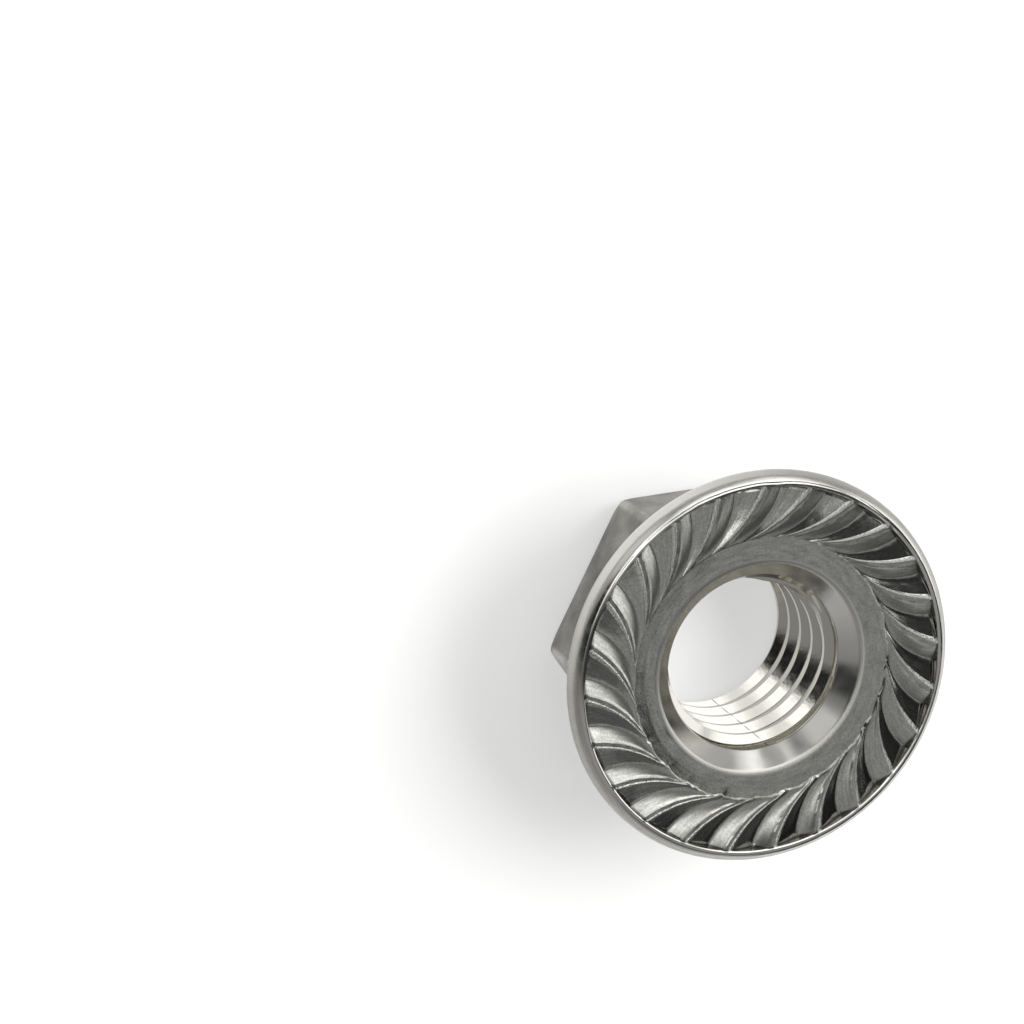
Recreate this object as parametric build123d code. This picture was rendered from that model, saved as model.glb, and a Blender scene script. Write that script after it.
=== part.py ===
# Serrated flange nut, M8 x 1.25, stainless steel, millimetres.
#
# One cold formed piece. The thread axis is +Z: the nut stands on the end of
# its hexagon at z = 0, and the serrated bearing face looks up. The hexagon
# has a corner on +X. The bore is plain at the thread's minor diameter.
import os
from math import acos, atan2, cos, degrees, radians, sin, sqrt, tan

from build123d import *

# --- the thread -------------------------------------------------------------
thread_d = 8.0
thread_depth = 0.55  # from the thread's crests, the plain bore, to thread_d
countersink_angle = 90.0  # included
end_mouth_w = 0.625  # the hexagon's countersink opens this far past the thread
face_mouth_w = 0.875  # and the bearing face's countersink this far

# --- the hexagon ------------------------------------------------------------
height = 8.0  # from the hexagon's end to the top of the rim
across_flats = 12.9
corner_edge_r = 0.35  # rounded edges between the flats
end_bevel_w = 0.525  # bevel along each flat's end edge
end_bevel_h = 0.74
corner_angle = 31.0  # turned chamfer that takes the six corners
foot_flare = 0.2  # the flats flare out by this much at their foot

# --- the flange -------------------------------------------------------------
flange_w = 2.45  # how far the flange stands out past the flats
rim_t = 1.4  # thickness of the round rim
rim_proud = 0.12  # how far the rim stands out of the flange's back
back_slope = 22.0  # cone from the rim up to the hexagon's foot
back_r = 0.25  # fillet where the cone meets the rim

# --- the bearing face, dished towards the thread ----------------------------
dish = 0.5  # from the top of the rim down to the countersink's mouth
ring_w = 1.075  # plain ring round the countersink
ring_slope = 5.5
step_h = 0.06  # step from the ring up to the serrations
rim_w = 0.6  # the serrations end this far inside the flange's edge
rim_lip = 0.06  # step from the serrations up to the rim

# --- the serrations ---------------------------------------------------------
teeth = 24
tooth_h = 0.42  # depth of a gap where it meets the rim
crest_land = 0.02  # the crests are rubbed down by this much
crest_sweep = 22.0  # degrees that a crest turns on its way in to the ring
crest_sweep_mid = 5.2  # the same, half way in
root_outer = 0.60  # where in its pitch the root of a gap lies, at the rim
root_mid = 0.45  # half way in
root_inner = 0.13  # at the ring
tooth_phase = -0.8  # first crest at the rim, in degrees from the hexagon's corner
stations = 6  # spans between the sections that shape a gap
run_past = 0.05  # share of the pitch by which a gap's slopes pass the crests

clear = 1.0  # how far a cutter reaches past the part

minor_r = thread_d / 2 - thread_depth
end_mouth_r = thread_d / 2 + end_mouth_w
face_mouth_r = thread_d / 2 + face_mouth_w
countersink_slope = 1 / tan(radians(countersink_angle / 2))
apothem = across_flats / 2
end_ring_r = apothem - end_bevel_w  # flat ring left on the hexagon's end

flange_r = apothem + flange_w
rim_r = rim_t / 2  # the rim is a round bead
rim_mid_r = flange_r - rim_r
rim_z = height - sqrt(rim_r**2 - max(rim_r - rim_w, 0) ** 2)

mouth_z = height - dish
ring_r = face_mouth_r + ring_w
ring_z = mouth_z + ring_w * tan(radians(ring_slope))
step_r = ring_r + step_h
serration_r = flange_r - rim_w
lip_z = rim_z + sqrt(rim_r**2 - (serration_r - rim_mid_r) ** 2)
crest_in_z = ring_z + step_h
crest_out_z = lip_z - rim_lip
pitch = 360 / teeth


def polar(r, angle):
    return (r * cos(radians(angle)), r * sin(radians(angle)))


def face_z(r):
    """Height of the serrations' crests, a shallow cone."""
    t = (r - step_r) / (serration_r - step_r)
    return crest_in_z + t * (crest_out_z - crest_in_z)


def back_z(r):
    """Height of the flange's back, the cone between rim and hexagon."""
    return rim_z - rim_r + rim_proud - (rim_mid_r - r) * tan(radians(back_slope))


# The flange: a turned profile with a round rim, and a cone from the rim up to
# the hexagon. The cone meets the bead's circle at back_end.
slope = tan(radians(back_slope))
drop = back_z(rim_mid_r) - rim_z
back_x = (-slope * drop - sqrt((1 + slope**2) * rim_r**2 - drop**2)) / (1 + slope**2)
back_end = (rim_mid_r + back_x, back_z(rim_mid_r + back_x))
core_r = end_ring_r  # the turned profile ends inside the hexagon

with BuildPart() as flange:
    with BuildSketch(Plane.XZ):
        with BuildLine():
            Polyline(
                (serration_r, lip_z),
                (serration_r, crest_out_z),
                (step_r, crest_in_z),
                (ring_r, ring_z),
                (face_mouth_r, mouth_z),
                (0, mouth_z),
                (0, back_z(core_r)),
                (core_r, back_z(core_r)),
                back_end,
            )
            ThreePointArc(back_end, (flange_r, rim_z), (serration_r, lip_z))
        make_face()
    revolve(axis=Axis.Z)
    circles = flange.edges().filter_by(GeomType.CIRCLE)
    fillet(circles.filter_by(lambda e: abs(e.radius - back_end[0]) < 1e-6), back_r)

# The hexagon: rounded upright edges, a bevel along each flat's end edge and a
# turned chamfer on the corners, so that a round flat ring is left on the end.
with BuildPart() as hexagon:
    with BuildSketch() as end_outline:
        RegularPolygon(end_ring_r, 6, major_radius=False)
        fillet(end_outline.vertices(), corner_edge_r)
    with BuildSketch(Plane.XY.offset(end_bevel_h)) as outline:
        RegularPolygon(apothem, 6, major_radius=False)
        fillet(outline.vertices(), corner_edge_r)
    loft(ruled=True)
    add(extrude(outline.sketch, amount=back_z(rim_mid_r) - end_bevel_h))
    far_r = across_flats  # clear of the corners
    with BuildSketch(Plane.XZ):
        Polygon(
            (0, 0),
            (end_ring_r, 0),
            (far_r, (far_r - end_ring_r) * tan(radians(corner_angle))),
            (far_r, height),
            (0, height),
            align=None,
        )
    revolve(axis=Axis.Z, mode=Mode.INTERSECT)

# Flange and hexagon are one forging, and the flats flare out at their foot.
with BuildPart() as nut:
    add(flange.part)
    add(hexagon.part)
    chamfer(nut.edges(Select.NEW), foot_flare)

    # The hole: a plain bore with a countersink at each end.
    with BuildSketch(Plane.XZ):
        Polygon(
            (0, -clear),
            (end_mouth_r + clear / countersink_slope, -clear),
            (minor_r, (end_mouth_r - minor_r) * countersink_slope),
            (minor_r, mouth_z - (face_mouth_r - minor_r) * countersink_slope),
            (face_mouth_r + clear / countersink_slope, mouth_z + clear),
            (0, mouth_z + clear),
            align=None,
        )
    revolve(axis=Axis.Z, mode=Mode.SUBTRACT)


# The serrations. Seen on the face, the crests and roots between them are arcs
# that leave the rim almost radially and curve in until they run along the
# ring. From each crest the face falls gently to the root, counter-clockwise,
# and then rises more steeply to the next crest, so that the teeth let the nut
# be tightened and bite when it turns back. Gaps are deepest at the rim, which
# closes their outer ends, and fade to nothing at the ring.
class SweptLine:
    """The arc through three (radius, angle) points, read by its radius."""

    def __init__(self, *points):
        (x1, y1), (x2, y2), (x3, y3) = (polar(*point) for point in points)
        twice = 2 * (x1 * (y2 - y3) + x2 * (y3 - y1) + x3 * (y1 - y2))
        s1, s2, s3 = x1**2 + y1**2, x2**2 + y2**2, x3**2 + y3**2
        x = (s1 * (y2 - y3) + s2 * (y3 - y1) + s3 * (y1 - y2)) / twice
        y = (s1 * (x3 - x2) + s2 * (x1 - x3) + s3 * (x2 - x1)) / twice
        self.centre_r, self.centre_angle = sqrt(x**2 + y**2), degrees(atan2(y, x))
        self.arc_r = sqrt((x1 - x) ** 2 + (y1 - y) ** 2)

    def angle(self, r):
        cosine = (r**2 + self.centre_r**2 - self.arc_r**2) / (2 * r * self.centre_r)
        return self.centre_angle - degrees(acos(cosine))


mid_r = (serration_r + step_r) / 2
crest = SweptLine((serration_r, 0), (mid_r, crest_sweep_mid), (step_r, crest_sweep))
root = SweptLine(
    (serration_r, root_outer * pitch),
    (mid_r, crest_sweep_mid + root_mid * pitch),
    (step_r, crest_sweep + root_inner * pitch),
)


def gap_section(t):
    """Cut across a gap from crest to crest, at t from the ring (0) to the rim (1)."""
    r = step_r + t * (serration_r - step_r)
    from_crest = Vector(*polar(r, crest.angle(r)))
    across = Vector(*polar(r, crest.angle(r) + pitch)) - from_crest
    width = across.length
    fall = width * (root.angle(r) - crest.angle(r)) / pitch
    rise = width - fall
    past = width * run_past
    top = face_z(r) + crest_land
    depth = crest_land + t * (tooth_h - crest_land)
    plane = Plane(from_crest, x_dir=across, z_dir=across.cross(Vector(0, 0, 1)))
    with BuildSketch(plane) as section:
        Polygon(
            (-past, height + clear),
            (-past, top + depth * past / fall),
            (fall, top - depth),
            (width + past, top + depth * past / rise),
            (width + past, height + clear),
            align=None,
        )
    return section.sketch


with BuildPart() as gap:
    loft([gap_section(k / stations) for k in range(stations + 2)])
    with BuildSketch():
        Circle(serration_r)
    extrude(amount=height + 2 * clear, mode=Mode.INTERSECT)

with BuildPart() as flange_nut:
    add(nut.part)
    with PolarLocations(0, teeth, start_angle=tooth_phase):
        add(gap.part, mode=Mode.SUBTRACT)

os.makedirs("parts", exist_ok=True)
export_step(flange_nut.part, "parts/flange_nut.step")
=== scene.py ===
from math import acos, atan, atan2, cos, degrees, exp, hypot, log, pi, radians, sin, sqrt, tan

import bmesh
import bpy
from mathutils import Matrix, Vector, noise


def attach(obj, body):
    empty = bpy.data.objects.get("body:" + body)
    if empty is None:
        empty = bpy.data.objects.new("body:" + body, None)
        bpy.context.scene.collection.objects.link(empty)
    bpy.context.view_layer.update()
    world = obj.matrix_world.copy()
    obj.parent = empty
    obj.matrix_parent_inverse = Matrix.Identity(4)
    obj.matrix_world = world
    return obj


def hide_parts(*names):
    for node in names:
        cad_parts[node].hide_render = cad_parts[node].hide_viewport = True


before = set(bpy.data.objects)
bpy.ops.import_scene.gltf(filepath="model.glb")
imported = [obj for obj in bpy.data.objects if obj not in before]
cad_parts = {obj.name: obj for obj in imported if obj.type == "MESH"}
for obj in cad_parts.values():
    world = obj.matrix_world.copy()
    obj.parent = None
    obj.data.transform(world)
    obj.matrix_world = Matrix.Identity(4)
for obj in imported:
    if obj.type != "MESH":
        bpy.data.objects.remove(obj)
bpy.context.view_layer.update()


# ---------------------------------------------------------------------------
# The blank. The nut starts as a slug of stainless wire, headed to a flange and
# pierced, and its mouths are turned. It is worked out here as a closed section
# in millimetres, a row for each point, that changes with the angle.
# ---------------------------------------------------------------------------
height = 8.0
minor_r = 3.6  # to the crests of the thread
end_mouth_r = 4.625
face_mouth_r = 4.875
flange_r = 8.9
dish = 0.5  # from the top of the rim down to the countersink's mouth
ring_w = 1.075  # plain ring round the countersink
ring_slope = tan(radians(5.5))
mouth_z = height - dish
ring_r = face_mouth_r + ring_w
ring_z = mouth_z + ring_w * ring_slope
millimetre = 0.001


def linear(hex_colour):
    """An sRGB hex colour as the linear values that Blender wants."""
    parts = [int(hex_colour[k : k + 2], 16) / 255 for k in (1, 3, 5)]
    return (*(p / 12.92 if p <= 0.04045 else ((p + 0.055) / 1.055) ** 2.4 for p in parts), 1)


def add(tree, kind, settings=None, inputs=None):
    """A node with its settings, whose inputs take a value or another node's output."""
    node = tree.nodes.new(kind)
    for name, value in (settings or {}).items():
        setattr(node, name, value)
    for name, value in (inputs or {}).items():
        if isinstance(value, bpy.types.NodeSocket):
            tree.links.new(value, node.inputs[name])
        else:
            node.inputs[name].default_value = value
    return node


def bare_steel(name, colour, roughness):
    """A material of bare stainless steel, with its tree and its shader."""
    material = bpy.data.materials.new(name)
    material.use_nodes = True
    shader = material.node_tree.nodes["Principled BSDF"]
    shader.inputs["Metallic"].default_value = 1.0
    shader.inputs["Base Color"].default_value = linear(colour)
    shader.inputs["Roughness"].default_value = roughness
    return material, material.node_tree, shader


def uneven(size, r, angle, seed):
    """Smooth unevenness between -1 and 1, in patches about size mm across."""
    x, y = r * cos(radians(angle)), r * sin(radians(angle))
    return noise.noise(Vector((x / size, y / size, seed)))


def rounded(corners):
    """A broken line through (r, z, round, points): each inner corner is rounded."""
    longest = 0.45  # share of a side that a round takes up at most
    guard = -0.4  # a point this far outside a round, on both sides, keeps the sides straight
    line = [Vector(corners[0][:2])]
    for before, (r, z, round_r, points), after in zip(corners, corners[1:], corners[2:]):
        at = Vector((r, z))
        into = Vector(before[:2]) - at
        out = Vector(after[:2]) - at
        cut = round_r / tan(into.angle(out) / 2)
        start = at + into.normalized() * min(cut, longest * into.length)
        end = at + out.normalized() * min(cut, longest * out.length)
        line.append(start.lerp(at, guard))
        for k in range(points):
            t = k / (points - 1)
            line.append(start.lerp(at, t).lerp(at.lerp(end, t), t))
        line.append(end.lerp(at, guard))
    line.append(Vector(corners[-1][:2]))
    return line


# Stainless steel turned with a form tool: bright, with fine rings round the
# axis that draw a highlight out along the cone, and clouds 0.7 mm across.
turned, tree, shader = bare_steel("turned_stainless_steel", "#cecdc8", 0.15)
place = add(tree, "ShaderNodeTexCoord")
strip = add(tree, "ShaderNodeUVMap", {"uv_map": "across_and_along"})
# tool marks are a few hundredths of a millimetre apart, drawn at 0.06
marks_at = add(
    tree, "ShaderNodeVectorMath", {"operation": "MULTIPLY"}, {0: strip.outputs[0], 1: (0.6, 16, 0)}
)
marks = add(
    tree, "ShaderNodeTexNoise", inputs={"Vector": marks_at.outputs[0], "Scale": 1.0, "Detail": 2.0}
)
clouds = add(
    tree, "ShaderNodeTexNoise", inputs={"Vector": place.outputs["Object"], "Scale": 1500, "Detail": 4.0}
)
polish = add(
    tree,
    "ShaderNodeMapRange",
    inputs={"Value": clouds.outputs[0], "From Min": 0.35, "From Max": 0.7, "To Min": 0.12, "To Max": 0.22},
)
# the countersink's edge is rubbed dull where it meets the ring
strip_split = add(tree, "ShaderNodeSeparateXYZ", inputs={0: strip.outputs[0]})
at_edge = add(
    tree, "ShaderNodeMapRange", inputs={"Value": strip_split.outputs[1], "From Min": 4.7, "From Max": 4.8}
)
rubbed = add(
    tree,
    "ShaderNodeMix",
    {"data_type": "FLOAT"},
    {"Factor": at_edge.outputs[0], "A": polish.outputs[0], "B": 0.45},
)
dents = add(
    tree, "ShaderNodeBump", inputs={"Height": marks.outputs[0], "Strength": 0.12, "Distance": 0.00001}
)
tree.links.new(rubbed.outputs[0], shader.inputs["Roughness"])
tree.links.new(dents.outputs[0], shader.inputs["Normal"])


# ---------------------------------------------------------------------------
# The hexagon. The header's die squeezes the blank's barrel to six flats with
# rounded edges. Its end is bevelled along the flats and turned at the corners,
# and the metal creeps out into a small fillet at the foot.
# ---------------------------------------------------------------------------
apothem = 6.45
corner_edge_r = 0.35
end_ring_r = 5.925
end_bevel_h = 0.74
corner_slope = tan(radians(31.0))  # of the turned chamfer that takes the corners
foot_r = 0.28
edge_softness = 0.025
row_gap = 0.035  # between the rows that hold the shape of the hexagon's two edges


def hexagon_r(flat_r, angle):
    """Radius at an angle of a hexagon with a corner on +X and rounded edges."""
    off_flat = (angle % 60) - 30
    inner = flat_r - corner_edge_r
    if abs(off_flat) <= degrees(atan(inner * tan(radians(30)) / flat_r)):
        return flat_r / cos(radians(off_flat))
    turn = radians(30 - abs(off_flat))
    centre = inner / cos(radians(30))
    return centre * cos(turn) + sqrt(corner_edge_r**2 - (centre * sin(turn)) ** 2)


def barrel_r(z, angle):
    """The lower of flat, end bevel and turned chamfer, blended at their edges."""
    bevelled = end_ring_r + (apothem - end_ring_r) * z / end_bevel_h
    forms = (
        hexagon_r(apothem, angle),
        hexagon_r(bevelled, angle),
        end_ring_r + z / corner_slope,
    )
    return -edge_softness * log(sum(exp(-form / edge_softness) for form in forms))


def barrel_levels(angle):
    """Heights of the rows round the hexagon, from above, close together at its two edges."""
    lowest, least_gap = 0.16, 0.02
    cosine = cos(radians((angle % 60) - 30))
    cone = 1 / corner_slope
    bevel = (apothem - end_ring_r) / end_bevel_h
    # the turned chamfer is the lowest form up to first, the bevel up to second, then the flat
    first = end_ring_r * (1 / cosine - 1) / (cone - bevel / cosine)
    second = end_bevel_h
    if first > second:
        first = second = (hexagon_r(apothem, angle) - end_ring_r) / cone
    first = max(first, lowest)
    second = max(second, first + least_gap)
    near = min(2 * row_gap, (second - first) / 3)
    levels = [height * 0.4, height * 0.25]
    levels += [second + 0.175, second + 2 * row_gap, second + row_gap, second]
    levels += [second - near / 2, second - near, (first + second) / 2]
    return levels + [first + near, first + near / 3, first, first - row_gap]


# Stainless steel squeezed in a die and tumbled: duller than the face, and darker,
# the dark tone painted shade, clouded where the die rubbed it, with small pits and painted highlights along
# its edges.
squeezed, tree, shader = bare_steel("squeezed_stainless_steel", "#9b9a95", 0.3)
place = add(tree, "ShaderNodeTexCoord")
# clouds 1.4 mm across
clouds = add(
    tree, "ShaderNodeTexNoise", inputs={"Vector": place.outputs["Object"], "Scale": 700, "Detail": 8.0}
)
cloudy = add(
    tree, "ShaderNodeMapRange", inputs={"Value": clouds.outputs[0], "From Min": 0.3, "From Max": 0.7}
)
drawn_at = add(
    tree,
    "ShaderNodeVectorMath",
    {"operation": "MULTIPLY"},
    {0: place.outputs["Object"], 1: (1.0, 1.0, 0.15)},
)
# die lines along the barrel, 0.15 mm apart
die_lines = add(
    tree, "ShaderNodeTexNoise", inputs={"Vector": drawn_at.outputs[0], "Scale": 6500, "Detail": 3.0}
)
# pits 0.03 to 0.1 mm across
pits = add(
    tree, "ShaderNodeTexNoise", inputs={"Vector": place.outputs["Object"], "Scale": 9000, "Detail": 2.0}
)
pitted = add(
    tree, "ShaderNodeMapRange", inputs={"Value": pits.outputs[0], "From Min": 0.28, "From Max": 0.36}
)
relief = add(
    tree,
    "ShaderNodeMath",
    {"operation": "MULTIPLY_ADD"},
    {0: die_lines.outputs[0], 1: 0.5, 2: pitted.outputs[0]},
)
dents = add(
    tree, "ShaderNodeBump", inputs={"Height": relief.outputs[0], "Strength": 0.5, "Distance": 0.00002}
)
# the clouds' dark tone is painted shade
tint = add(
    tree,
    "ShaderNodeMix",
    {"data_type": "RGBA"},
    {"Factor": cloudy.outputs[0], 6: linear("#6b6a65"), 7: linear("#9a9892")},
)
# the six upright edges carry a painted highlight, 0.4 mm wide
at = add(tree, "ShaderNodeSeparateXYZ", inputs={0: place.outputs["Object"]})
around = add(tree, "ShaderNodeMath", {"operation": "ARCTAN2"}, {0: at.outputs[1], 1: at.outputs[0]})
off_corner = add(
    tree, "ShaderNodeMath", {"operation": "PINGPONG"}, {0: around.outputs[0], 1: radians(30)}
)
corner_highlight = add(
    tree,
    "ShaderNodeMapRange",
    {"interpolation_type": "SMOOTHSTEP"},
    {
        "Value": off_corner.outputs[0],
        "From Min": radians(0.6),
        "From Max": radians(2.4),
        "To Min": 0.75,
        "To Max": 0.0,
    },
)
patchy = add(
    tree,
    "ShaderNodeMapRange",
    inputs={"Value": clouds.outputs[0], "From Min": 0.4, "From Max": 0.6, "To Min": 0.25, "To Max": 1.0},
)
# rubbed here is the corners' painted highlight, broken into patches
rubbed = add(
    tree, "ShaderNodeMath", {"operation": "MULTIPLY"}, {0: corner_highlight.outputs[0], 1: patchy.outputs[0]}
)
corner_highlight_tint = add(
    tree,
    "ShaderNodeMix",
    {"data_type": "RGBA"},
    {"Factor": rubbed.outputs[0], 6: tint.outputs[2], 7: linear("#cfcec8")},
)
dulled = add(
    tree,
    "ShaderNodeMapRange",
    inputs={"Value": clouds.outputs[0], "From Min": 0.35, "From Max": 0.65, "To Min": 0.34, "To Max": 0.26},
)
tree.links.new(corner_highlight_tint.outputs[2], shader.inputs["Base Color"])
tree.links.new(dulled.outputs[0], shader.inputs["Roughness"])
tree.links.new(dents.outputs[0], shader.inputs["Normal"])


# ---------------------------------------------------------------------------
# The serrations. A die stamps 24 swept teeth into the dished face: from each
# crest the metal falls gently to a root and rises steeply to the next crest.
# The gaps are deepest at the rim and fade out along the plain ring.
# ---------------------------------------------------------------------------
teeth = 24
# where the columns of one tooth lie: shares of the gentle side, then of the steep
gentle_shares = (0, 0.03, 0.07, 0.16, 0.3, 0.48, 0.66, 0.82, 0.92, 0.97)
steep_shares = (0, 0.04, 0.1, 0.24, 0.4, 0.55, 0.66, 0.73, 0.8, 0.88, 0.96)
columns_per_tooth = len(gentle_shares) + len(steep_shares)
columns = teeth * columns_per_tooth
pitch = 360 / teeth
serration_r = 8.3
serration_rows = 24
tooth_h = 0.42
tooth_phase = -0.4
stamp_drift = 1.65  # the die sat a little off the axis, in degrees of the pattern
uneven_pitch = 0.1  # and its own teeth are that unevenly spaced, in degrees
crest_sweep, crest_sweep_mid = 22.0, 5.2
root_outer, root_mid, root_inner = 0.60, 0.45, 0.13
steep_top = 0.73  # share of the steep side at which it reaches the crest's height
root_round, root_round_w = 1.4, 0.25  # rounding of the root, and its share of each side
gentle_step = 0.15  # share of the depth that the gentle side drops off the crest's edge
step_h = 0.06
rim_lip = 0.06
crest_burr = 0.05  # metal pushed up along the crests, most at the ring
burr_from = 0.7  # share of the steep side from which it stands up
coined_grain = 0.006
step_r = ring_r + step_h
crest_in_z = ring_z + step_h
crest_out_z = height - rim_lip


def swept_line(*points):
    """The arc through three (radius, angle) points, as a function of radius."""
    (x1, y1), (x2, y2), (x3, y3) = ((r * cos(radians(a)), r * sin(radians(a))) for r, a in points)
    twice = 2 * (x1 * (y2 - y3) + x2 * (y3 - y1) + x3 * (y1 - y2))
    s1, s2, s3 = x1**2 + y1**2, x2**2 + y2**2, x3**2 + y3**2
    x = (s1 * (y2 - y3) + s2 * (y3 - y1) + s3 * (y1 - y2)) / twice
    y = (s1 * (x3 - x2) + s2 * (x1 - x3) + s3 * (x2 - x1)) / twice
    centre_r, arc_r = hypot(x, y), hypot(x1 - x, y1 - y)

    def angle(r):
        turn = acos((r**2 + centre_r**2 - arc_r**2) / (2 * r * centre_r))
        return degrees(atan2(y, x) - turn)

    return angle


mid_r = (serration_r + step_r) / 2
crest_line = swept_line((serration_r, 0), (mid_r, crest_sweep_mid), (step_r, crest_sweep))
root_line = swept_line(
    (serration_r, root_outer * pitch),
    (mid_r, crest_sweep_mid + root_mid * pitch),
    (step_r, crest_sweep + root_inner * pitch),
)


def side_and_share(column):
    """Which side of a gap a column lies on, and how far across that side."""
    place = column % columns_per_tooth
    if place < len(gentle_shares):
        return "gentle", gentle_shares[place]
    return "steep", steep_shares[place - len(gentle_shares)]


def gap_depth(column):
    """Share of the gap's depth at a column: a V with a round root and a rubbed crest."""
    side, share = side_and_share(column)
    if side == "steep":
        return max(0, 1 - share / steep_top) - root_round * max(0, root_round_w - share) ** 2
    if share == 0:
        return 0
    fall = gentle_step + (1 - gentle_step) * share
    return fall - root_round * max(0, share - (1 - root_round_w)) ** 2


def tooth_angle(column, root):
    """Angle of a column at the rim, where its gap's root is at root of the pitch."""
    side, share = side_and_share(column)
    across = root * share if side == "gentle" else root + (1 - root) * share
    angle = tooth_phase + pitch * (column // columns_per_tooth + across)
    drift = stamp_drift * sin(radians(angle))
    return angle - drift + uneven_pitch * sin(radians(5 * angle + 40))


def tooth_depth(tooth):
    """Depth of a tooth's gap at the rim: the die's teeth differ by up to a tenth."""
    return tooth_h * (1 + 0.07 * sin(2.3 * tooth) + 0.05 * sin(5.9 * tooth + 1))


def serration_point(r, column):
    """A point of the serrations: (r, z, angle)."""
    t = (r - step_r) / (serration_r - step_r)
    angle = tooth_angle(column, (root_line(r) - crest_line(r)) / pitch) + crest_line(r)
    # t is 0 at the ring and 1 at the rim: the gap deepens quickly at first, then more slowly
    depth = tooth_depth(column // columns_per_tooth) * t**0.75 * gap_depth(column)
    z = crest_in_z + t * (crest_out_z - crest_in_z) - depth
    side, share = side_and_share(column)
    if side == "steep" and share > burr_from or side == "gentle" and share == 0:
        # in lumps of 0.16 and 0.5 mm, and gone here and there
        ragged = 0.55 + 0.6 * uneven(0.16, r, angle, 3.0) + 0.5 * uneven(0.5, r, angle, 7.0)
        z += crest_burr * max(0, ragged) * (1 - t) ** 0.3
    return r, z + coined_grain * uneven(0.35, r, angle, 11.0), angle


def stamped_edge(angle):
    """Share by which the stamped metal stands over the ring's edge: 1 at -80 degrees."""
    return 0.55 - 0.45 * sin(radians(angle - 10))


# Stainless steel coined by a die: silvery grey and softly glossy, the steep
# sides duller than the gentle ones, with flow lines along the teeth, faint
# circles on the plain ring and a fine grain all over.
coined, tree, shader = bare_steel("coined_stainless_steel", "#cacac5", 0.28)
place = add(tree, "ShaderNodeTexCoord")
strip = add(tree, "ShaderNodeUVMap", {"uv_map": "across_and_along"})
split = add(tree, "ShaderNodeSeparateXYZ", inputs={0: strip.outputs[0]})
share = add(tree, "ShaderNodeMath", {"operation": "FRACT"}, {0: split.outputs[0]})
steep = add(
    tree,
    "ShaderNodeMapRange",
    {"interpolation_type": "SMOOTHSTEP"},
    {"Value": share.outputs[0], "From Min": 0.49, "From Max": 0.53},
)
on_teeth = add(
    tree, "ShaderNodeMapRange", inputs={"Value": split.outputs[1], "From Min": 5.95, "From Max": 6.1}
)
steep_side = add(
    tree, "ShaderNodeMath", {"operation": "MULTIPLY"}, {0: steep.outputs[0], 1: on_teeth.outputs[0]}
)
# flow lines 0.1 mm apart along the teeth, stretched to about 1 mm
flow_at = add(
    tree, "ShaderNodeVectorMath", {"operation": "MULTIPLY"}, {0: strip.outputs[0], 1: (18, 1.2, 0)}
)
flow = add(
    tree,
    "ShaderNodeTexNoise",
    inputs={"Vector": flow_at.outputs[0], "Scale": 1.0, "Detail": 4.0, "Distortion": 0.5},
)
# the ring is clouded in patches drawn out a little round the axis, 0.2 mm wide
circle_at = add(
    tree, "ShaderNodeVectorMath", {"operation": "MULTIPLY"}, {0: strip.outputs[0], 1: (1.6, 5, 0)}
)
circles = add(
    tree, "ShaderNodeTexNoise", inputs={"Vector": circle_at.outputs[0], "Scale": 1.0, "Detail": 3.0}
)
lines = add(
    tree,
    "ShaderNodeMix",
    {"data_type": "FLOAT"},
    {"Factor": on_teeth.outputs[0], "A": circles.outputs[0], "B": flow.outputs[0]},
)
# grain of the die and the metal, 0.05 to 0.1 mm
grain = add(
    tree, "ShaderNodeTexNoise", inputs={"Vector": place.outputs["Object"], "Scale": 11000, "Detail": 3.0}
)
lined = add(
    tree,
    "ShaderNodeMapRange",
    inputs={"Value": lines.outputs[0], "From Min": 0.3, "From Max": 0.7, "To Min": 0.0, "To Max": 0.5},
)
speckled = add(
    tree,
    "ShaderNodeMapRange",
    inputs={"Value": grain.outputs[0], "From Min": 0.3, "From Max": 0.7, "To Min": 0.0, "To Max": 0.5},
)
light = add(tree, "ShaderNodeMath", {"operation": "ADD"}, {0: lined.outputs[0], 1: speckled.outputs[0]})
tint = add(
    tree,
    "ShaderNodeMix",
    {"data_type": "RGBA"},
    {"Factor": light.outputs[0], 6: linear("#a4a49e"), 7: linear("#e6e6e1")},
)
# crests rubbed in handling and given a painted highlight: bright lines 0.1 to 0.2 mm wide, broken here and
# there
from_root = add(tree, "ShaderNodeMath", {"operation": "SUBTRACT"}, {0: share.outputs[0], 1: 0.52})
off_root = add(tree, "ShaderNodeMath", {"operation": "ABSOLUTE"}, {0: from_root.outputs[0]})
on_crest = add(
    tree, "ShaderNodeMapRange", inputs={"Value": off_root.outputs[0], "From Min": 0.44, "From Max": 0.49}
)
rubbed = add(
    tree,
    "ShaderNodeMapRange",
    inputs={"Value": grain.outputs[0], "From Min": 0.3, "From Max": 0.5, "To Min": 0.5, "To Max": 1.0},
)
crest_rub_and_highlight = add(
    tree, "ShaderNodeMath", {"operation": "MULTIPLY"}, {0: on_crest.outputs[0], 1: rubbed.outputs[0]}
)
crest_rub_and_highlight_on_teeth = add(
    tree, "ShaderNodeMath", {"operation": "MULTIPLY"}, {0: crest_rub_and_highlight.outputs[0], 1: on_teeth.outputs[0]}
)
# and a painted highlight on the ring's edge at the countersink
at_mouth = add(
    tree,
    "ShaderNodeMapRange",
    inputs={"Value": split.outputs[1], "From Min": 4.92, "From Max": 5.02, "To Min": 1.0, "To Max": 0.0},
)
rub_and_highlight = add(
    tree, "ShaderNodeMath", {"operation": "MAXIMUM"}, {0: crest_rub_and_highlight_on_teeth.outputs[0], 1: at_mouth.outputs[0]}
)
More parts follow.
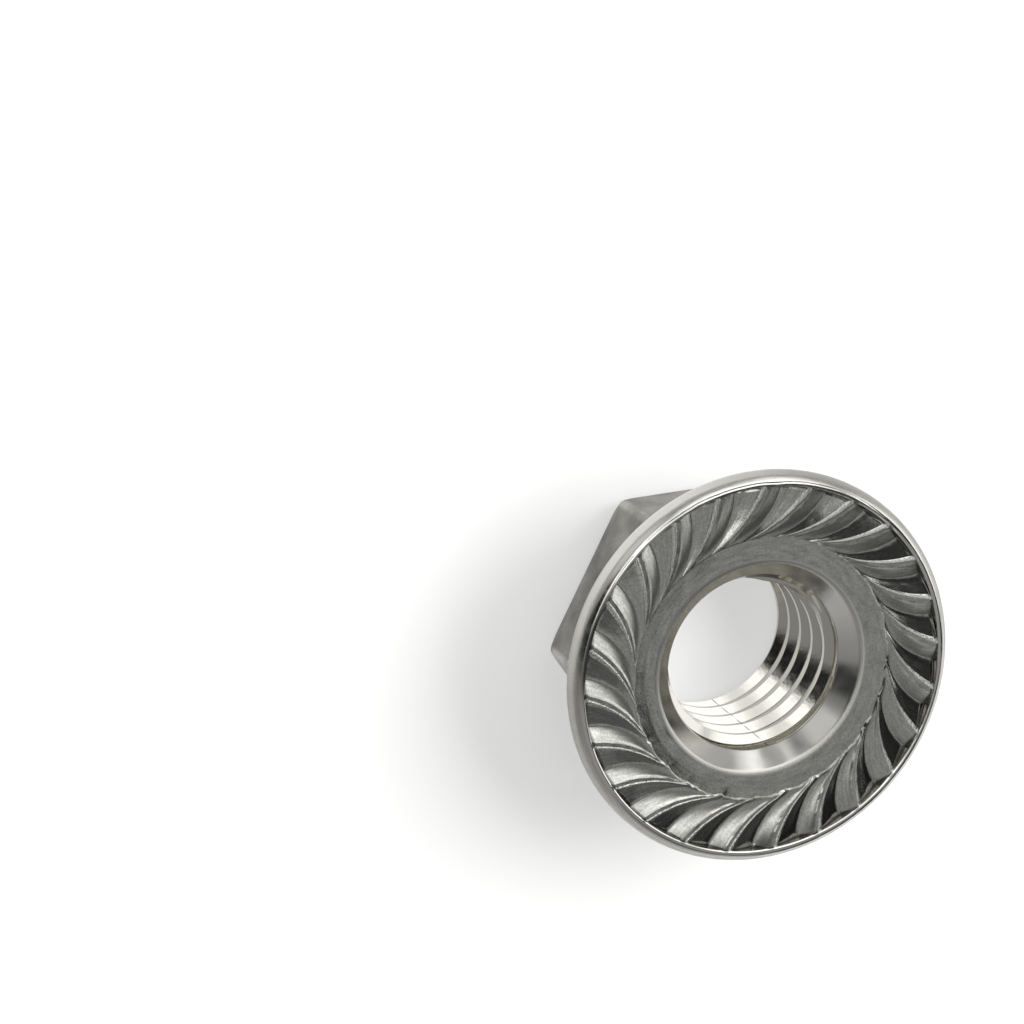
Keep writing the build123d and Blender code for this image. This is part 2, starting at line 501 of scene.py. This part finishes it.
# painted shade darkens the foot of the wall that closes the gaps
corner_shade = add(
    tree,
    "ShaderNodeMapRange",
    inputs={"Value": split.outputs[1], "From Min": 8.15, "From Max": 8.27, "To Min": 0.0, "To Max": 0.85},
)
# the corner turns to a dark painted shade
painted_dark_tint = add(
    tree,
    "ShaderNodeMix",
    {"data_type": "RGBA"},
    {"Factor": corner_shade.outputs[0], 6: tint.outputs[2], 7: linear("#5d5c57")},
)
# crests and the countersink's edge take a bright tint: rubbing, and a painted highlight
rub_and_highlight_tint = add(
    tree,
    "ShaderNodeMix",
    {"data_type": "RGBA"},
    {"Factor": rub_and_highlight.outputs[0], 6: painted_dark_tint.outputs[2], 7: linear("#f2f2ee")},
)
dull = add(
    tree, "ShaderNodeMapRange", inputs={"Value": steep_side.outputs[0], "To Min": 0.16, "To Max": 0.34}
)
duller = add(
    tree,
    "ShaderNodeMath",
    {"operation": "MULTIPLY_ADD"},
    {0: light.outputs[0], 1: -0.05, 2: dull.outputs[0]},
)
dullest = add(
    tree,
    "ShaderNodeMix",
    {"data_type": "FLOAT"},
    {"Factor": rub_and_highlight.outputs[0], "A": duller.outputs[0], "B": 0.4},
)
relief = add(tree, "ShaderNodeMath", {"operation": "ADD"}, {0: lines.outputs[0], 1: grain.outputs[0]})
dents = add(
    tree, "ShaderNodeBump", inputs={"Height": relief.outputs[0], "Strength": 0.12, "Distance": 0.00002}
)
# ragged metal pushed up along the crests, in lumps of about 0.1 mm that catch the light
burr = add(
    tree, "ShaderNodeMath", {"operation": "MULTIPLY"}, {0: crest_rub_and_highlight_on_teeth.outputs[0], 1: grain.outputs[0]}
)
lumps = add(
    tree,
    "ShaderNodeBump",
    inputs={
        "Height": burr.outputs[0],
        "Strength": 1.0,
        "Distance": 0.00008,
        "Normal": dents.outputs[0],
    },
)
tree.links.new(rub_and_highlight_tint.outputs[2], shader.inputs["Base Color"])
tree.links.new(dullest.outputs[0], shader.inputs["Roughness"])
tree.links.new(lumps.outputs[0], shader.inputs["Normal"])


# ---------------------------------------------------------------------------
# The rim and the flange's back. The flange's edge is a bead, rolled over as
# the die closes, that dams the ends of the gaps. Metal lapped over its top
# leaves a thin wavy groove, and a cone runs down its back to the hexagon.
# ---------------------------------------------------------------------------
rim_r = 0.7
rim_w = flange_r - serration_r
rim_proud = 0.12  # how far the bead stands out of the flange's back
back_slope = 22.0
bead_start_r = serration_r + 0.05
inner_slope_r = 8.55  # from here in, the bead's top slopes down to the serrations
inner_slope = 1.5  # how fast it does, and under the lap only a tenth of that
lap_angle, lap_w = 95, 60  # the lapped metal's middle, and how far it reaches from there
groove_in, groove_w, groove_deep = 0.15, 0.03, 0.014  # its groove, from the bead's start
bead_waves = 0.004
bead_top_rows, bead_rows = 13, 34
bead_row_gap = 0.022  # over the top, where the groove is, and 0.1 elsewhere
rim_mid_r = flange_r - rim_r
rim_z = height - sqrt(rim_r**2 - (rim_r - rim_w) ** 2)
slope = tan(radians(back_slope))
drop = rim_proud - rim_r
back_x = (-slope * drop - sqrt((1 + slope**2) * rim_r**2 - drop**2)) / (1 + slope**2)


def back_z(r):
    """Height of the flange's back, a cone from the rim up to the hexagon."""
    return rim_z + drop - (rim_mid_r - r) * slope


def bead(angle):
    """The bead's section from above the serrations over its edge to the cone."""
    start = atan2(height - rim_z, bead_start_r - rim_mid_r)
    end = atan2(back_z(rim_mid_r + back_x) - rim_z, back_x)
    groove_at = groove_in + 0.05 * uneven(1.6, serration_r, angle, 21.0)
    groove_at += 0.02 * uneven(0.4, serration_r, angle, 22.0)
    off_lap = (angle + (180 - lap_angle)) % 360 - 180
    lapped = max(0, 1 - (off_lap / lap_w) ** 2)
    fine = bead_row_gap * bead_top_rows
    length = (start - end) * rim_r
    points = []
    for k in range(1, bead_rows):
        run = bead_row_gap * k
        if k > bead_top_rows:
            run = fine + (length - fine) * (k - bead_top_rows) / (bead_rows - bead_top_rows)
        turn = start - run / rim_r
        r = rim_r - lapped * groove_deep * exp(-(((run - groove_at) / groove_w) ** 2))
        r -= bead_waves * (1 + uneven(0.5, flange_r, angle, 23.0)) * min(1, run)
        point = Vector((rim_mid_r + r * cos(turn), rim_z + r * sin(turn)))
        if run < length / 2:
            point.y -= inner_slope * (1 - 0.9 * lapped) * max(0, inner_slope_r - point.x) ** 2
        points.append(point)
    return points


# Stainless steel rolled against the die's wall: the bead's top is the brightest
# skin of the nut, slightly wavy along the edge, and its outer side is satin and darkened by painted shade.
rolled, tree, shader = bare_steel("rolled_stainless_steel", "#b9b8b3", 0.26)
place = add(tree, "ShaderNodeTexCoord")
strip = add(tree, "ShaderNodeUVMap", {"uv_map": "across_and_along"})
# waves about 2 mm long and 0.15 mm apart
wave_at = add(
    tree, "ShaderNodeVectorMath", {"operation": "MULTIPLY"}, {0: strip.outputs[0], 1: (1.2, 7, 0)}
)
waves = add(
    tree, "ShaderNodeTexNoise", inputs={"Vector": wave_at.outputs[0], "Scale": 1.0, "Detail": 3.0}
)
# scuffs of 0.5 mm from the tumbling, and a painted shade, on the bead's outer side but not its top,
# both fewer where metal lapped over, a painted highlight there: about 4 teeth long, round tooth 8.4 counted
# from +X
rubbed = add(
    tree, "ShaderNodeTexNoise", inputs={"Vector": place.outputs["Object"], "Scale": 2200, "Detail": 4.0}
)
split = add(tree, "ShaderNodeSeparateXYZ", inputs={0: strip.outputs[0]})
outside = add(
    tree, "ShaderNodeMapRange", inputs={"Value": split.outputs[1], "From Min": 8.5, "From Max": 8.74}
)
from_lap = add(tree, "ShaderNodeMath", {"operation": "SUBTRACT"}, {0: split.outputs[0], 1: 8.4})
off_lap = add(tree, "ShaderNodeMath", {"operation": "ABSOLUTE"}, {0: from_lap.outputs[0]})
off_lap_scuffs_and_shade = add(
    tree,
    "ShaderNodeMapRange",
    inputs={"Value": off_lap.outputs[0], "From Min": 0.8, "From Max": 3.4, "To Min": 0.35, "To Max": 1.0},
)
outer_scuffs_and_shade = add(
    tree, "ShaderNodeMath", {"operation": "MULTIPLY"}, {0: outside.outputs[0], 1: off_lap_scuffs_and_shade.outputs[0]}
)
clean = add(
    tree,
    "ShaderNodeMapRange",
    inputs={"Value": rubbed.outputs[0], "From Min": 0.4, "From Max": 0.7, "To Min": 0.13, "To Max": 0.22},
)
scuffed = add(
    tree,
    "ShaderNodeMapRange",
    inputs={"Value": rubbed.outputs[0], "From Min": 0.4, "From Max": 0.7, "To Min": 0.26, "To Max": 0.4},
)
dull = add(
    tree,
    "ShaderNodeMix",
    {"data_type": "FLOAT"},
    {"Factor": outer_scuffs_and_shade.outputs[0], "A": clean.outputs[0], "B": scuffed.outputs[0]},
)
# the outer side's darker tint is painted shade, lifted round the lap
tint = add(
    tree,
    "ShaderNodeMix",
    {"data_type": "RGBA"},
    {"Factor": outer_scuffs_and_shade.outputs[0], 6: linear("#e2e1dc"), 7: linear("#9b9a95")},
)
# a painted dark reflection lies on the bead's inner side over 2 teeth, round tooth 10.9
from_dark_reflection = add(tree, "ShaderNodeMath", {"operation": "SUBTRACT"}, {0: split.outputs[0], 1: 10.9})
off_dark_reflection = add(tree, "ShaderNodeMath", {"operation": "ABSOLUTE"}, {0: from_dark_reflection.outputs[0]})
along_dark_reflection = add(
    tree,
    "ShaderNodeMapRange",
    {"interpolation_type": "SMOOTHSTEP"},
    {"Value": off_dark_reflection.outputs[0], "From Min": 0.4, "From Max": 1.5, "To Min": 1.0, "To Max": 0.0},
)
across_dark_reflection = add(
    tree,
    "ShaderNodeMapRange",
    {"interpolation_type": "SMOOTHSTEP"},
    {"Value": split.outputs[1], "From Min": 8.42, "From Max": 8.62, "To Min": 0.9, "To Max": 0.0},
)
dark_reflection = add(
    tree,
    "ShaderNodeMath",
    {"operation": "MULTIPLY"},
    {0: along_dark_reflection.outputs[0], 1: across_dark_reflection.outputs[0]},
)
# the painted dark reflection goes into the bead's colour here
painted_dark_tint = add(
    tree,
    "ShaderNodeMix",
    {"data_type": "RGBA"},
    {"Factor": dark_reflection.outputs[0], 6: tint.outputs[2], 7: linear("#33322e")},
)
dents = add(
    tree, "ShaderNodeBump", inputs={"Height": waves.outputs[0], "Strength": 0.35, "Distance": 0.00003}
)
tree.links.new(painted_dark_tint.outputs[2], shader.inputs["Base Color"])
tree.links.new(dull.outputs[0], shader.inputs["Roughness"])
tree.links.new(dents.outputs[0], shader.inputs["Normal"])


# ---------------------------------------------------------------------------
# The forging. All of that is one piece of steel: one closed section that is
# spun round the axis, with 504 columns that follow the teeth at the rim and
# the hexagon below it. Each point knows its row and takes its own place.
# ---------------------------------------------------------------------------
finishes = ("coined", "rolled", "turned", "tapped", "squeezed")
rolled_over = 0.06  # the countersink's edge is rounded from here
hollow_r, hollow_deep = 5.42, 0.012  # the plain ring sags a little
ring_waves = 0.008
creep_w, creep_ragged, creep_h = 0.13, 0.06, 0.04  # stamped metal that creeps in over the ring
hex_crowding = 5.73  # degrees by which columns crowd towards the hexagon's corners
bore_rows = 8


def mouth_and_ring(column):
    """Countersink, plain ring and the step up to the serrations."""
    corners = [
        (minor_r, mouth_z - (face_mouth_r - minor_r)),
        (face_mouth_r - rolled_over, mouth_z - rolled_over * ring_slope, 0.4, 8),
        (hollow_r, mouth_z + (hollow_r - face_mouth_r) * ring_slope - hollow_deep, 2.0, 4),
        (ring_r, ring_z, 0.02, 3),
        (step_r, crest_in_z),
    ]
    rows = []
    for point in rounded(corners):
        r, z = point
        near = max(0, (r - face_mouth_r) / (step_r - face_mouth_r))
        angle = tooth_angle(column, 0.5 + (root_inner - 0.5) * near) + crest_sweep
        if r > face_mouth_r + 0.1:
            z += ring_waves * uneven(0.9, r, angle, 1.0)
        if r > ring_r - 0.05:
            # it creeps furthest at the crests' tails
            tail = 0.5 + 0.5 * cos(radians(teeth * (angle - crest_sweep - tooth_phase - 2)))
            creep = creep_w * tail * (0.6 + uneven(0.3, r, angle, 5.0))
            r -= stamped_edge(angle) * (creep + creep_ragged * uneven(0.16, r, angle, 9.0))
        rows.append((r, z, angle, "turned" if point.x < face_mouth_r else "coined"))
    r, z, angle, finish = rows[-1]
    z += creep_h * stamped_edge(angle) * max(0, 0.4 + uneven(0.2, r, angle, 13.0))
    rows[-1] = (r, z, angle, finish)
    return rows


def section(column):
    """The nut's section at a column: (r, z, angle, finish), from the bore up and round."""
    rows = mouth_and_ring(column)
    for k in range(1, serration_rows):
        r = step_r + (serration_r - step_r) * k / serration_rows
        rows.append((*serration_point(r, column), "coined"))

    # the wall that closes the gaps, then the bead, the cone and the hexagon's foot
    _, floor_z, rim_angle = serration_point(serration_r, column)
    wall = rounded([
        (serration_r - 0.09, floor_z),
        (serration_r - 0.01, floor_z, 0.03, 3),
        (serration_r + 0.015, height - 0.105, 0.03, 4),
        (serration_r + 0.1, height - 0.055),
    ])[:-1]
    round_edge = bead(rim_angle)
    even_angle = column * 360 / columns
    hex_angle = even_angle - hex_crowding * sin(radians(6 * even_angle))
    side_r = hexagon_r(apothem, hex_angle)
    back = rounded([
        round_edge[-1],
        (rim_mid_r + back_x, back_z(rim_mid_r + back_x), 0.1, 4),
        (side_r, back_z(side_r), foot_r, 6),
        (side_r, height / 2),
    ])[1:]
    for k, point in enumerate(wall + round_edge + back):
        # below the bead's top the columns turn from the teeth's angles to the hexagon's
        turn = (k - len(wall) - bead_top_rows) / (bead_rows - bead_top_rows - 3)
        turn = min(1, max(0, turn))
        angle = rim_angle + (hex_angle - rim_angle) * turn * turn * (3 - 2 * turn)
        finish = "rolled"
        if k < len(wall) - 3:
            finish = "coined"
        elif k >= len(wall) + len(round_edge):
            finish = "squeezed"
        rows.append((point.x, point.y, angle, finish))

    # the hexagon's side and end, its countersink, and the bore back to the start
    for z in barrel_levels(hex_angle):
        rows.append((barrel_r(z, hex_angle), z, hex_angle, "squeezed"))
    end = rounded([
        (barrel_r(0.1, hex_angle), 0.1),
        (barrel_r(0, hex_angle), 0, 0.03, 4),
        (end_mouth_r, 0, 0.06, 5),
        (minor_r, end_mouth_r - minor_r),
    ])
    for k, point in enumerate(end):
        # squeezed up to the flat of the end, which row 6 starts, and turned from there
        rows.append((point.x, point.y, hex_angle, "squeezed" if k < 7 else "turned"))
    last, first = rows[-1], rows[0]
    for k in range(1, bore_rows):
        between = (a + (b - a) * k / bore_rows for a, b in zip(last[:3], first[:3]))
        rows.append((*between, "tapped"))
    return rows


sections = [section(column) for column in range(columns)]
bm = bmesh.new()
row_of = bm.verts.layers.int.new("row")
column_of = bm.verts.layers.int.new("column")
wire = [bm.verts.new((r, 0, z)) for r, z, angle, finish in sections[0]]
for row, vert in enumerate(wire):
    vert[row_of] = row
    bm.edges.new((vert, wire[row - 1]))
bmesh.ops.spin(
    bm,
    geom=bm.verts[:] + bm.edges[:],
    cent=(0, 0, 0),
    axis=(0, 0, 1),
    angle=2 * pi,
    steps=columns,
    use_merge=True,
)
for vert in bm.verts:
    column = round(degrees(atan2(vert.co.y, vert.co.x)) * columns / 360) % columns
    vert[column_of] = column
    r, z, angle, finish = sections[column][vert[row_of]]
    vert.co = Vector((r * cos(radians(angle)), r * sin(radians(angle)), z)) * millimetre

# Each face takes its row's finish, and a map with the tooth and the share of it
# across, and the radius in millimetres along.
strip_map = bm.loops.layers.uv.new("across_and_along")
for face in bm.faces:
    rows = sorted({vert[row_of] for vert in face.verts})
    row = rows[-1] if rows[-1] - rows[0] > 1 else rows[0]
    face.material_index = finishes.index(sections[0][row][3])
    last_column = max(vert[column_of] for vert in face.verts)
    for loop in face.loops:
        column = loop.vert[column_of]
        if column == 0 and last_column > 1:
            column = columns
        side, share = side_and_share(column)
        across = column // columns_per_tooth + 0.5 * share + (0.5 if side == "steep" else 0)
        loop[strip_map].uv = (across, sections[0][loop.vert[row_of]][0])
bmesh.ops.recalc_face_normals(bm, faces=bm.faces)
nut_mesh = bpy.data.meshes.new("nut_body")
bm.to_mesh(nut_mesh)
bm.free()
nut = bpy.data.objects.new("nut_body", nut_mesh)
bpy.context.collection.objects.link(nut)


# ---------------------------------------------------------------------------
# The thread. M8, 1.25 mm to the turn, tapped right through last of all. The
# tap's swept tooth form cuts it from the bore, and a turned relief, deeper
# towards -X, clears the thin first thread under the countersink.
# ---------------------------------------------------------------------------
thread_pitch = 1.25
thread_r = 4.05
thread_start = -2.033  # height of the first groove where it crosses +X, below the nut
crest_flat = 0.2
thread_root_h = 0.07  # the root is rounded over this depth
thread_turns = 9
steps_per_turn = 120
flank = tan(radians(30))
tool_in = 0.2  # the cutters start this far inside the bore
relief_r = 4.06
relief_w, relief_h = 0.26, 0.52  # the slope at the relief's lower edge
relief_top = 7.6
# lower edge of the relief: (angle, height)
relief_floor = (
    (-180, 6.12),
    (-95, 6.12),
    (-75, 6.3),
    (-43, 6.36),
    (0, 6.42),
    (40, 6.36),
    (75, 6.26),
    (110, 6.12),
    (180, 6.12),
)


def cutting_tool(name, outline, rise, turns):
    """An outline (r, z) spun, or wound at rise per turn, to a closed cutter in metres."""
    bm = bmesh.new()
    verts = [bm.verts.new((r, 0, z)) for r, z in outline]
    edges = [bm.edges.new((a, b)) for a, b in zip(verts, verts[1:] + verts[:1])]
    bmesh.ops.spin(
        bm,
        geom=verts + edges,
        cent=(0, 0, 0),
        axis=(0, 0, 1),
        dvec=(0, 0, rise / steps_per_turn),
        angle=2 * pi * turns,
        steps=turns * steps_per_turn,
        use_merge=rise == 0,
    )
    bmesh.ops.holes_fill(bm, edges=[edge for edge in bm.edges if edge.is_boundary], sides=0)
    bmesh.ops.recalc_face_normals(bm, faces=bm.faces)
    bmesh.ops.scale(bm, verts=bm.verts, vec=(millimetre, millimetre, millimetre))
    for face in bm.faces:
        face.material_index = finishes.index("tapped")
    mesh = bpy.data.meshes.new(name)
    bm.to_mesh(mesh)
    bm.free()
    tool = bpy.data.objects.new(name, mesh)
    bpy.context.collection.objects.link(tool)
    return tool


half = (thread_pitch - crest_flat) / 2
tap_tooth = [
    (minor_r - tool_in, half + tool_in * flank),
    (thread_r - thread_root_h, half - (thread_r - thread_root_h - minor_r) * flank),
    (thread_r - 0.015, 0.035),
    (thread_r, 0),
]
tap_tooth += [(r, -z) for r, z in tap_tooth[-2::-1]]
tap_tooth = [(r, z + thread_start) for r, z in tap_tooth]
tap = cutting_tool("tap", tap_tooth, thread_pitch, thread_turns)
relief_low = relief_floor[0][1]
reamer = cutting_tool(
    "reamer",
    [
        (minor_r - tool_in, relief_low),
        (relief_r - relief_w, relief_low),
        (relief_r, relief_low + relief_h),
        (relief_r, relief_top),
        (minor_r - tool_in, relief_top),
    ],
    0,
    1,
)
for vert in reamer.data.vertices:
    around = degrees(atan2(vert.co.y, vert.co.x))
    lower_edge = vert.co.z < (relief_low + relief_h / 2) * millimetre
    for (angle_a, z_a), (angle_b, z_b) in zip(relief_floor, relief_floor[1:]):
        if lower_edge and angle_a <= around <= angle_b:
            lift = z_a + (z_b - z_a) * (around - angle_a) / (angle_b - angle_a) - relief_low
            vert.co.z += millimetre * lift
            break


# Stainless steel cut by a tap: the smoothest surface of the nut, faintly clouded
# in patches of 0.4 mm, and one dark line down it.
tapped, tree, shader = bare_steel("tapped_stainless_steel", "#d2d0c8", 0.12)
place = add(tree, "ShaderNodeTexCoord")
at = add(tree, "ShaderNodeSeparateXYZ", inputs={0: place.outputs["Object"]})
across_at = add(tree, "ShaderNodeCombineXYZ", inputs={"X": at.outputs[0], "Y": at.outputs[1]})
radius = add(tree, "ShaderNodeVectorMath", {"operation": "LENGTH"}, {0: across_at.outputs[0]})
around = add(tree, "ShaderNodeMath", {"operation": "ARCTAN2"}, {0: at.outputs[1], 1: at.outputs[0]})
# the mark leans from -88.5 degrees at radius 3.45 mm to -82 degrees at 4 mm
mark_lean = add(
    tree,
    "ShaderNodeMapRange",
    inputs={
        "Value": radius.outputs["Value"],
        "From Min": 0.00345,
        "From Max": 0.004,
        "To Min": radians(-88.5),
        "To Max": radians(-82),
    },
)
mark_off = add(
    tree, "ShaderNodeMath", {"operation": "SUBTRACT"}, {0: around.outputs[0], 1: mark_lean.outputs[0]}
)
mark_far = add(tree, "ShaderNodeMath", {"operation": "ABSOLUTE"}, {0: mark_off.outputs[0]})
# it is about 0.05 mm wide
mark = add(
    tree,
    "ShaderNodeMapRange",
    inputs={
        "Value": mark_far.outputs[0],
        "From Min": radians(0.1),
        "From Max": radians(0.6),
        "To Min": 0.8,
        "To Max": 0.0,
    },
)
clouds = add(
    tree, "ShaderNodeTexNoise", inputs={"Vector": place.outputs["Object"], "Scale": 2500, "Detail": 4.0}
)
mark_broken = add(
    tree,
    "ShaderNodeMapRange",
    inputs={"Value": clouds.outputs[0], "From Min": 0.45, "From Max": 0.55, "To Min": 0.2, "To Max": 1.0},
)
mark_seen = add(
    tree, "ShaderNodeMath", {"operation": "MULTIPLY"}, {0: mark.outputs[0], 1: mark_broken.outputs[0]}
)
tint = add(
    tree,
    "ShaderNodeMix",
    {"data_type": "RGBA"},
    {"Factor": mark_seen.outputs[0], 6: linear("#d2d0c8"), 7: linear("#2b2823")},
)
polish = add(
    tree,
    "ShaderNodeMapRange",
    inputs={"Value": clouds.outputs[0], "From Min": 0.35, "From Max": 0.7, "To Min": 0.09, "To Max": 0.17},
)
dents = add(
    tree, "ShaderNodeBump", inputs={"Height": clouds.outputs[0], "Strength": 0.25, "Distance": 0.00002}
)
tree.links.new(tint.outputs[2], shader.inputs["Base Color"])
tree.links.new(polish.outputs[0], shader.inputs["Roughness"])
tree.links.new(dents.outputs[0], shader.inputs["Normal"])


# Relief and thread are cut out of the forging, and the cuts' edges stay sharp.
# The materials go on in the order of finishes.
for piece in (nut, reamer, tap):
    for material in (coined, rolled, turned, tapped, squeezed):
        piece.data.materials.append(material)
for tool in (reamer, tap):
    cut = nut.modifiers.new(tool.name, "BOOLEAN")
    cut.operation = "DIFFERENCE"
    cut.solver = "MANIFOLD"
    cut.object = tool
depsgraph = bpy.context.evaluated_depsgraph_get()
threaded = bpy.data.meshes.new_from_object(nut.evaluated_get(depsgraph))
nut.modifiers.clear()
nut.data = threaded
bpy.data.objects.remove(reamer)
bpy.data.objects.remove(tap)
for face in threaded.polygons:
    face.use_smooth = True
threaded.set_sharp_from_angle(angle=radians(35))
bm = bmesh.new()
bm.from_mesh(threaded)
for edge in bm.edges:
    meeting = {face.material_index for face in edge.link_faces}
    if len(meeting) == 2 and finishes.index("tapped") in meeting:
        edge.smooth = False
bm.to_mesh(threaded)
bm.free()
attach(nut, "root")
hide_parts("flange_nut")


# ---------------------------------------------------------------------------
# The floor. A sheet of white card under the nut. The camera and the steel see
# it almost white, and the nut's soft shadow stays on it.
# ---------------------------------------------------------------------------
bm = bmesh.new()
bmesh.ops.create_grid(bm, x_segments=1, y_segments=1, size=1.0)
floor_mesh = bpy.data.meshes.new("floor")
bm.to_mesh(floor_mesh)
bm.free()
floor = bpy.data.objects.new("floor", floor_mesh)
bpy.context.collection.objects.link(floor)
card = bpy.data.materials.new("white_card")
card.use_nodes = True
tree = card.node_tree
shader = tree.nodes["Principled BSDF"]
shader.inputs["Base Color"].default_value = linear("#bcbcbb")
shader.inputs["Roughness"].default_value = 0.9
shader.inputs["Specular IOR Level"].default_value = 0.0
shader.inputs["Emission Color"].default_value = (1, 1, 1, 1)
seen_by = add(tree, "ShaderNodeLightPath")
seen = add(
    tree,
    "ShaderNodeMath",
    {"operation": "MAXIMUM"},
    {0: seen_by.outputs["Is Camera Ray"], 1: seen_by.outputs["Is Glossy Ray"]},
)
seen_too = add(
    tree,
    "ShaderNodeMath",
    {"operation": "MAXIMUM"},
    {0: seen.outputs[0], 1: seen_by.outputs["Is Transmission Ray"]},
)
paper_glow = 0.5
paper = add(
    tree, "ShaderNodeMath", {"operation": "MULTIPLY"}, {0: seen_too.outputs[0], 1: paper_glow}
)
tree.links.new(paper.outputs[0], shader.inputs["Emission Strength"])
floor_mesh.materials.append(card)


# ---------------------------------------------------------------------------
# The light. A pale tent, paler towards the floor. As the camera sees it, soft
# boxes hang at the top and the right, and dark cloths from the right round the
# bottom to the left. The steel mirrors them, and a small lamp gives the shadow.
# ---------------------------------------------------------------------------
tent_low, tent_high = 0.60, 0.30
low_until, high_from = 4, 26  # degrees of elevation
# what hangs in the tent: azimuth, elevation, core and edge in degrees, and its strength
hangings = (
    (64, 40, 18, 34, 1.7),
    (6, 24, 15, 24, 1.4),
    (112, 62, 7, 20, 1.1),
    (142, 69, 11, 19, 1.7),
    (128, 25, 10, 20, 0.8),
    (78, 22, 5, 13, 0.5),
    (14, 58, 9, 14, 0.03),
    (36, 70, 10, 15, 0.03),
    (-45, 35, 9, 14, 0.02),
    (-12, 45, 12, 17, 0.02),
    (-28, 36, 9, 14, 0.01),
    (-42, 21, 6, 12, 0.05),
    (-82, 39, 11, 20, 0.12),
    (-54, 13, 12, 22, 0.06),
    (170, 47, 14, 22, 0.01),
    (175, 27, 8, 16, 0.05),
)
world = bpy.data.worlds.new("tent")
world.use_nodes = True
tree = world.node_tree
towards = add(tree, "ShaderNodeTexCoord")
split = add(tree, "ShaderNodeSeparateXYZ", inputs={0: towards.outputs["Generated"]})
strength = add(
    tree,
    "ShaderNodeMapRange",
    {"interpolation_type": "SMOOTHSTEP"},
    {
        "Value": split.outputs[2],
        "From Min": sin(radians(low_until)),
        "From Max": sin(radians(high_from)),
        "To Min": tent_low,
        "To Max": tent_high,
    },
).outputs[0]
for azimuth, elevation, core, edge, hung in hangings:
    across, up = radians(azimuth), radians(elevation)
    middle = (cos(up) * cos(across), cos(up) * sin(across), sin(up))
    near = add(
        tree,
        "ShaderNodeVectorMath",
        {"operation": "DOT_PRODUCT"},
        {0: towards.outputs["Generated"], 1: middle},
    )
    within = add(
        tree,
        "ShaderNodeMapRange",
        {"interpolation_type": "SMOOTHSTEP"},
        {"Value": near.outputs["Value"], "From Min": cos(radians(edge)), "From Max": cos(radians(core))},
    )
    strength = add(
        tree,
        "ShaderNodeMix",
        {"data_type": "FLOAT"},
        {"Factor": within.outputs[0], "A": strength, "B": hung},
    ).outputs[0]
tree.links.new(strength, tree.nodes["Background"].inputs["Strength"])
tree.nodes["Background"].inputs["Color"].default_value = (1, 1, 1, 1)
bpy.context.scene.world = world

lamp_data = bpy.data.lights.new("lamp", "AREA")
lamp_data.size = 0.25
lamp_data.energy = 1.5
lamp = bpy.data.objects.new("lamp", lamp_data)
lamp.location = (0.21, 0.09, 0.33)
towards_nut = Vector((0, 0, 0.007)) - lamp.location
lamp.rotation_euler = towards_nut.to_track_quat("-Z", "Y").to_euler()
lamp.visible_glossy = False
bpy.context.collection.objects.link(lamp)
bpy.context.scene.view_settings.view_transform = "Standard"


# ---------------------------------------------------------------------------
# The camera. A long lens, 3000 pixels of a 1024 pixel frame, looks down on
# the serrated face from about sixty degrees above the table.
# ---------------------------------------------------------------------------
sensor_w = 36  # millimetres
right = Vector((0.94458581, -0.05413456, 0.32377014))
down = Vector((-0.14274206, -0.95591514, 0.25661439))
forward = Vector((0.29560507, -0.28860993, -0.91067116))
camera_data = bpy.data.cameras.new("camera")
camera_data.sensor_width = sensor_w
camera_data.lens = 3000 / 1024 * sensor_w
camera_data.clip_start = 0.001
camera = bpy.data.objects.new("camera", camera_data)
stand = Matrix((right, -down, -forward)).transposed().to_4x4()
stand.translation = Vector((-47.87681202, 44.78895973, 121.15426137)) * millimetre
camera.matrix_world = stand
bpy.context.collection.objects.link(camera)
bpy.context.scene.camera = camera
